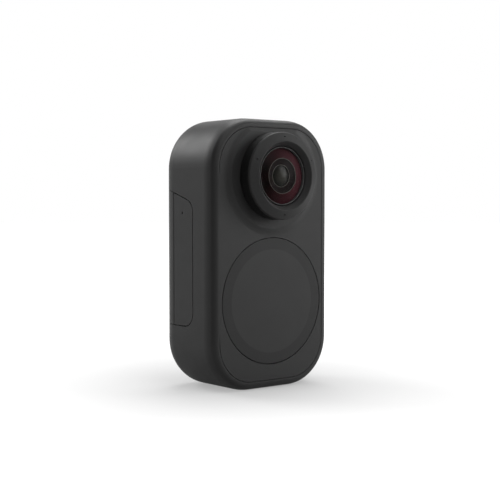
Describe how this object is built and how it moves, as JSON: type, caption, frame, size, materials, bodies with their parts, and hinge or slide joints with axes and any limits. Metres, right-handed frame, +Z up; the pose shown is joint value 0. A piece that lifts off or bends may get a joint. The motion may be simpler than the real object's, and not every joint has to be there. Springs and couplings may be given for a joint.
{
  "type": "360 degree camera",
  "caption": "Pocket 360 degree camera with back-to-back fisheye lenses, round front display, hinged side door over its ports, side buttons and a tripod thread",
  "frame": {"origin": "middle of the bounding box on the base that the camera stands on", "axes": "+Z up, -Y out of the front lens, +X towards the side with the buttons"},
  "size_m": [0.0532, 0.0482, 0.0953],
  "materials": {
    "shell": "fine matte",
    "panel": "fine matte",
    "lens_metal": "satin",
    "lens_black": "matte",
    "lens_glass": "coated",
    "display_glass": "etched",
    "rubber": "matte",
    "steel": "satin",
    "alloy": "matte",
    "board": "satin",
    "copper": "satin",
    "flex": "satin",
    "inner_black": "matte"
  },
  "bodies": {
    "camera": {"housing": "shell", "front_panel": "panel", "rear_panel": "panel", "front_lens_barrel": "lens_black", "front_lens_ring": "lens_metal", "front_lens_seal": "rubber", "front_barrel_nut": "alloy", "front_dome_lens": "lens_glass", "front_lens_group": "lens_black", "front_inner_lens": "lens_glass", "front_image_sensor": "inner_black", "front_sensor_board": "board", "rear_lens_barrel": "lens_black", "rear_lens_ring": "lens_metal", "rear_lens_seal": "rubber", "rear_barrel_nut": "alloy", "rear_dome_lens": "lens_glass", "rear_lens_group": "lens_black", "rear_inner_lens": "lens_glass", "rear_image_sensor": "inner_black", "rear_sensor_board": "board", "display_cover": "display_glass", "display_gasket": "rubber", "display_module": "inner_black", "display_flex": "flex", "chassis": "alloy", "chassis_screws": "steel", "main_board": "board", "board_screws": "steel", "processor_shield": "steel", "heat_spreader": "copper", "sensor_flex": "flex", "battery": "inner_black", "speaker": "inner_black", "microphone": "steel", "door_hinge_pin": "steel", "hinge_cover": "shell", "port_tray": "inner_black", "port_board": "board", "usb_socket": "steel", "card_socket": "steel", "button_board": "board", "dome_switches": "steel", "tripod_insert": "steel"},
    "door": {"side_door": "shell", "door_seal": "rubber"},
    "shutter": {"shutter_button": "panel"},
    "power": {"power_button": "panel"},
    "card": {"memory_card": "inner_black"}
  },
  "joints": [
    {"name": "door_hinge", "type": "hinge", "parent": "camera", "child": "door", "pos_m": [-0.0257, 0.0048, 0.0457], "axis": [0, 0, -1], "range_deg": [0, 100]},
    {"name": "shutter_press", "type": "slide", "parent": "camera", "child": "shutter", "axis": [-1, 0, 0], "range_m": [0, 0.0004], "stiffness_N_per_m": 2000},
    {"name": "power_press", "type": "slide", "parent": "camera", "child": "power", "axis": [-1, 0, 0], "range_m": [0, 0.0004], "stiffness_N_per_m": 2000},
    {"name": "card_push", "type": "slide", "parent": "camera", "child": "card", "axis": [1, 0, 0], "range_m": [0, 0.0009], "stiffness_N_per_m": 800}
  ]
}
